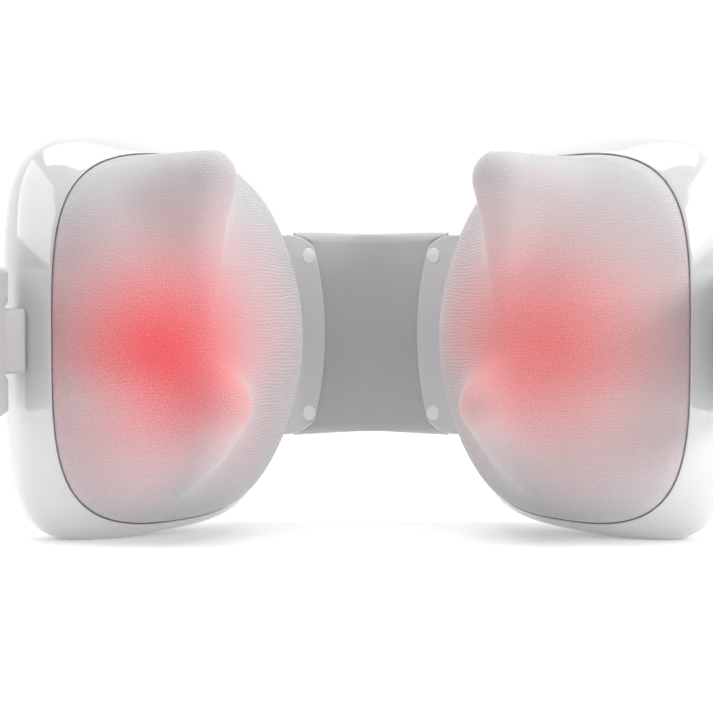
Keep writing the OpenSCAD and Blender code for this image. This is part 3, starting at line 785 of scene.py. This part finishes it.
def add_harness_half(name):
    """Half of the cable inside the band, which bends with it and runs on through the bracket into the pod."""
    cross = stadium(CABLE_R, CABLE_R * 1.0001, 24)
    stations = [(k / BAND_STEPS, 0) for k in range(BAND_STEPS + 1)]
    stations += [(1, CABLE_TAIL * k / TAIL_STEPS) for k in range(1, TAIL_STEPS + 1)]
    sections = [
        along_band(name, share, ahead, CABLE_OFFSET + cross[:, 0], cross[:, 1]) for share, ahead in stations
    ]
    add_band_piece(name, name + "_harness_half", sections, "cable_sheath", "band_harness")


def clamp_edge(z):
    """Where the plate's free end is at height z: bowed, with large round corners."""
    beyond = np.clip(np.abs(z) - (CLAMP_HALF - CLAMP_CORNER), 0, CLAMP_CORNER)
    rounded = CLAMP_X + CLAMP_CORNER - np.sqrt(CLAMP_CORNER ** 2 - beyond ** 2)
    bowed = CLAMP_X + CLAMP_END_R - np.sqrt(CLAMP_END_R ** 2 - z ** 2)
    return np.maximum(rounded, bowed)


def clamp_outline():
    """The plate's outline: its other end lies on the shell."""
    z = CLAMP_HALF * np.sin(np.linspace(-math.pi / 2, math.pi / 2, 73))
    far = CLAMP_HALF * (1 - np.arange(41) / 20)
    return np.r_[np.c_[clamp_edge(z), z], np.c_[np.full(len(far), CLAMP_FAR), far]][::-1]


def add_clamp(name):
    """The plate over the band's end, with the foot under it that leaves the slit, and its two screw caps."""
    points, faces = slab(clamp_outline(), CLAMP_Y - CLAMP_T, CLAMP_Y - CLAMP_SLIT, 0.5 * MM)
    overlap = 0.2 * MM
    foot, foot_faces = slab(
        inset(clamp_outline(), CLAMP_FOOT), CLAMP_Y - CLAMP_SLIT - overlap, CLAMP_Y, 0.1 * MM
    )
    faces = faces + [tuple(k + len(points) for k in face) for face in foot_faces]
    points = np.concatenate((points, foot))
    new_object(
        name + "_clamp", points, faces, "shell_gloss", POD[name], name + "_pod", [name + "_clamp_plate"]
    )
    for k, sign in enumerate((1, -1)):
        cap = stadium(CAP_HALF_W, CAP_HALF_H, 40) + (CLAMP_SCREW_X, sign * CLAMP_SCREW_Z)
        points, faces = slab(cap, CLAMP_Y - CLAMP_T - 0.5 * MM, CLAMP_Y, 0.4 * MM, 4, dome=0.3 * MM)
        new_object(
            f"{name}_screw_cap_{k}", points, faces, "rim_white", POD[name], name + "_pod",
            [name + "_clamp_screws"],
        )


# ---------- arms ----------


def arm_outline():
    """The arm's outline from the side, in y and z: a round tip in front, and a notch for the knuckle."""
    back, notch, corner = LUG_R, -(KNUCKLE_R + 1.5 * MM), 2.2 * MM
    half, gap = ARM_H / 2, KNUCKLE_HALF + 0.5 * MM
    points = []

    def fillet(x, z, radius, start, sweep, steps=6):
        for k in range(steps + 1):
            a = math.radians(start + sweep * k / steps)
            points.append((x + radius * math.cos(a), z + radius * math.sin(a)))

    def run(x0, z0, x1, z1, steps):
        for k in range(1, steps):
            points.append((x0 + (x1 - x0) * k / steps, z0 + (z1 - z0) * k / steps))

    tip = -ARM_LEN + half
    fillet(back - corner, -half + corner, corner, 270, 90)
    fillet(back - corner, -gap - corner, corner, 0, 90)
    run(back - corner, -gap, notch + corner, -gap, 4)
    fillet(notch + corner, -gap + corner, corner, 270, -90)
    run(notch, -gap + corner, notch, gap - corner, 10)
    fillet(notch + corner, gap - corner, corner, 180, -90)
    run(notch + corner, gap, back - corner, gap, 4)
    fillet(back - corner, gap + corner, corner, 270, 90)
    fillet(back - corner, half - corner, corner, 0, 90)
    run(back - corner, half, tip, half, 30)
    fillet(tip, 0, half, 90, 180, 48)
    run(tip, -half, back - corner, -half, 30)
    return np.array(points)


def match_ring(outer, inner_centre, half_w, half_len):
    """A point on the slot's stadium for each point of the outer outline, at the same share of the way round.
    Both start in the same direction from the slot's centre."""
    shape = stadium(half_w, half_len, 400)[:, ::-1] + inner_centre
    closed = np.r_[shape, shape[:1]]
    angle = np.unwrap(np.arctan2(closed[:, 1] - inner_centre[1], closed[:, 0] - inner_centre[0]))
    length = np.r_[0, np.cumsum(np.linalg.norm(np.diff(closed, axis=0), axis=1))]
    share = length / length[-1]
    outer_length = np.r_[0, np.cumsum(np.linalg.norm(np.diff(outer, axis=0), axis=1))]
    total = outer_length[-1] + np.linalg.norm(outer[0] - outer[-1])
    direction = np.arctan2(outer[0, 1] - inner_centre[1], outer[0, 0] - inner_centre[0])
    start = np.interp(direction % (2 * np.pi), *sort_turn(angle, share))
    forward = 1 if angle[-1] > angle[0] else -1
    stops = (start + forward * outer_length / total) % 1
    return np.c_[np.interp(stops, share, closed[:, 0]), np.interp(stops, share, closed[:, 1])]


def sort_turn(angle, share):
    """Angles within one turn in rising order, with the share that goes with each."""
    turn = angle % (2 * np.pi)
    order = np.argsort(turn)
    return turn[order], share[order]


def bow(points):
    """Bends points of the arm's flat shape inwards to the arm's bow. Points are depth, height and
    thickness."""
    depth, z, thickness = points[:, 0], points[:, 1], points[:, 2]
    a = np.maximum(-depth, 0) / ARM_BOW_R
    radius = ARM_BOW_R + thickness
    x = LUG_R - ARM_BOW_R + radius * np.cos(a)
    y = np.where(depth > 0, depth, -radius * np.sin(a))
    return np.c_[x, y, z]


def add_arm(name):
    """The arm's skin: its rounded outer edge, a flat face and the slot's edge, and then the same mirrored."""
    edge = arm_outline()
    slot_centre = np.array((-SLOT_NEAR - SLOT_LEN / 2, 0.0))
    hole = match_ring(edge, slot_centre, SLOT_R, SLOT_LEN / 2)
    lug_length = 9 * MM
    near_hinge = np.clip((edge[:, 0] + lug_length) / lug_length, 0, 1)
    edge_round = 2.2 * MM + (ARM_T / 2 - 2.3 * MM) * near_hinge
    steps, face_steps = 6, 12
    half = ARM_T / 2
    outer_in = inset(edge, edge_round)
    inner_out = inset(hole, -SLOT_ROUND)
    rows = []
    for k in range(steps + 1):
        a = math.pi / 2 * k / steps
        rows.append(np.c_[inset(edge, edge_round * (1 - np.cos(a))), half - edge_round * (1 - np.sin(a))])
    for k in range(1, face_steps):
        t = k / face_steps
        t = t * t * (3 - 2 * t)
        rows.append(np.c_[outer_in * (1 - t) + inner_out * t, np.full(len(edge), half)])
    for k in range(steps + 1):
        a = math.pi / 2 * (1 - k / steps)
        rows.append(np.c_[
            inset(hole, -SLOT_ROUND * (1 - math.cos(a))),
            np.full(len(hole), half - SLOT_ROUND * (1 - math.sin(a))),
        ])
    rows += [row * (1, 1, -1) for row in reversed(rows)]
    bent = np.concatenate([bow(row - (0, 0, half)) for row in rows])
    faces = grid_faces(len(rows), len(edge), wrap_rows=True)
    new_object(
        name + "_arm_body", bent, faces, "arm_satin", ARM[name], name + "_arm", [name + "_arm"], angle=50
    )
    add_grip(name, slot_centre)


def add_grip(name, slot_centre):
    """Soft lining of the finger slot, standing a little proud of both faces."""
    around = 96
    half, proud = ARM_T / 2, 0.6 * MM
    rows = []
    for a in np.linspace(0, 2 * np.pi, 24, endpoint=False):
        cos, sin = math.cos(a), math.sin(a)
        squared_cos = math.copysign(abs(cos) ** 0.5, cos)
        squared_sin = math.copysign(abs(sin) ** 0.5, sin)
        gap = SLOT_ROUND - 1.25 * MM * squared_cos
        shape = stadium(SLOT_R - gap, SLOT_LEN / 2 - gap, around)[:, ::-1] + slot_centre
        rows.append(np.c_[shape, np.full(around, -half + (half + proud) * squared_sin)])
    bent = np.concatenate([bow(row) for row in rows])
    faces = grid_faces(len(rows), around, wrap_rows=True)
    new_object(
        name + "_grip", bent, faces, "grip_rubber", ARM[name], name + "_arm", [name + "_finger_grip"]
    )


def add_knuckle(name):
    """The tab on the shell that the arm turns on: round at the pin, and rounded where it meets the shell."""
    corner, root = 1.8 * MM, 61.6 * MM
    shape = []
    for k in range(15):
        a = math.radians(90 - 180 * k / 14)
        shape.append((HINGE_X + KNUCKLE_R * math.cos(a), HINGE_Y + KNUCKLE_R * math.sin(a)))
    shape += [(HINGE_X + (root + corner - HINGE_X) * k / 6, HINGE_Y - KNUCKLE_R) for k in range(1, 6)]
    for k in range(7):
        a = math.radians(270 - 90 * k / 6)
        shape.append((
            root + corner + corner * math.cos(a),
            HINGE_Y - KNUCKLE_R + corner + corner * math.sin(a),
        ))
    shape += [(root - 0.4 * MM * k, HINGE_Y - KNUCKLE_R + corner + 1.0 * MM * k) for k in range(1, 5)]
    shape += [(root - 2 * MM + (HINGE_X - root) * k / 6, HINGE_Y + KNUCKLE_R) for k in range(0, 7)]
    points, faces = slab(np.array(shape)[::-1], -KNUCKLE_HALF, KNUCKLE_HALF, 1.5 * MM)
    points = np.c_[points[:, 0], points[:, 2], points[:, 1]]
    faces = [tuple(reversed(face)) for face in faces]
    new_object(
        name + "_knuckle", points, faces, "arm_satin", POD[name], name + "_pod", [name + "_hinge_knuckle"]
    )


# ---------- keys ----------


def add_controls():
    """The bezel and its three keys, on the back of the right pod."""
    turned = Matrix.Translation((0, SHELL_DEPTH + BEZEL_PROUD, 0)) @ Matrix.Diagonal((1, -1, 1, 1))
    place = POD["right"] @ turned
    points, faces = slab(stadium(BEZEL_W, BEZEL_H, 96), 0, 4 * MM, 0.7 * MM)
    new_object("bezel", points, faces, "bezel_grey", place, "right_pod", ["control_bezel"])
    for row, key in ((1, "power"), (0, "heat"), (-1, "speed")):
        shape = stadium(BUTTON_R, BUTTON_R * 1.0001, 64) + (0, row * BUTTON_PITCH)
        points, faces = slab(shape, -1.1 * MM, 3 * MM, 0.6 * MM, dome=-0.5 * MM)
        new_object(key + "_cap", points, faces, "key_white", place, key + "_key", [key + "_button"])


# ---------- everything ----------

MATERIAL = {
    "shell_gloss": plastic("shell_gloss", (0.60, 0.60, 0.615), 0.16, 0.5, 0.0015, coat=1.0, variation=0.01),
    "rim_white": plastic("rim_white", (0.76, 0.76, 0.765), 0.25, 0.3, 0.002, coat=0.3, variation=0.01),
    "chassis_plastic": plastic("chassis_plastic", (0.55, 0.55, 0.54), 0.5, 0.35, 0.02),
    "gear_nylon": plastic("gear_nylon", (0.82, 0.79, 0.68), 0.4, 0.3, 0.01, scatter=0.2),
    "yoke_plastic": plastic("yoke_plastic", (0.45, 0.45, 0.46), 0.5, 0.35, 0.02),
    "head_plastic": plastic("head_plastic", (0.76, 0.72, 0.68), 0.45, 0.4, 0.01, scatter=0.1),
    "arm_satin": plastic("arm_satin", (0.47, 0.465, 0.46), 0.36, 0.22, 0.006),
    "grip_rubber": plastic("grip_rubber", (0.33, 0.33, 0.34), 0.6, 0.3, 0.02),
    "band_silicone": plastic("band_silicone", (0.46, 0.46, 0.475), 0.38, 0.25, 0.006, scatter=0.05),
    "cable_sheath": plastic("cable_sheath", (0.05, 0.05, 0.055), 0.5, 0.3, 0.01),
    "cell_wrap": plastic("cell_wrap", (0.05, 0.13, 0.42), 0.3, 0.5, 0.004, coat=0.3),
    "bezel_grey": plastic("bezel_grey", (0.62, 0.62, 0.62), 0.4, 0.22, 0.008),
    "key_white": plastic("key_white", (0.82, 0.82, 0.82), 0.35, 0.25, 0.006),
    "screw_steel": metal("screw_steel", (0.55, 0.55, 0.57), 0.32),
    "motor_steel": metal("motor_steel", (0.30, 0.31, 0.33), 0.38),
    "shaft_steel": metal("shaft_steel", (0.66, 0.66, 0.68), 0.22),
    "pinion_brass": metal("pinion_brass", (0.78, 0.56, 0.22), 0.3),
    "bush_bronze": metal("bush_bronze", (0.55, 0.34, 0.18), 0.42),
    "circuit_board": circuit_board("circuit_board"),
    "lamp_red": lamp_diffuser("lamp_red"),
}

GLOW_POWER = 0.15
GLOW = {  # where the painted glow of the lamps sits on each knit, and its painted colours there
    "left": {"centre": (25, -3), "radii": (55, 50), "painted_glow_warm": (0.74, 0.40, 0.41), "painted_glow_core": (0.74, 0.09, 0.10)},
    "right": {"centre": (9, -1), "radii": (66, 50), "painted_glow_warm": (0.72, 0.46, 0.46), "painted_glow_core": (0.74, 0.20, 0.20)},
}
for side in SIDES:
    MATERIAL[side + "_knit"] = knit(side + "_knit", glow=GLOW_POWER, **GLOW[side])

for entry in frame["record"]["subparts"]:
    cad = frame["nodes"][entry["node"]]
    chosen = MATERIAL.get(entry["material_slot"])
    if chosen:
        cad.data.materials.clear()
        cad.data.materials.append(chosen)

add_camera()
add_stage()
for side in SIDES:
    add_shell(side)
    add_rim(side)
    add_knit(side)
    add_band_half(side)
    add_harness_half(side)
    add_clamp(side)
    add_arm(side)
    add_knuckle(side)
add_controls()
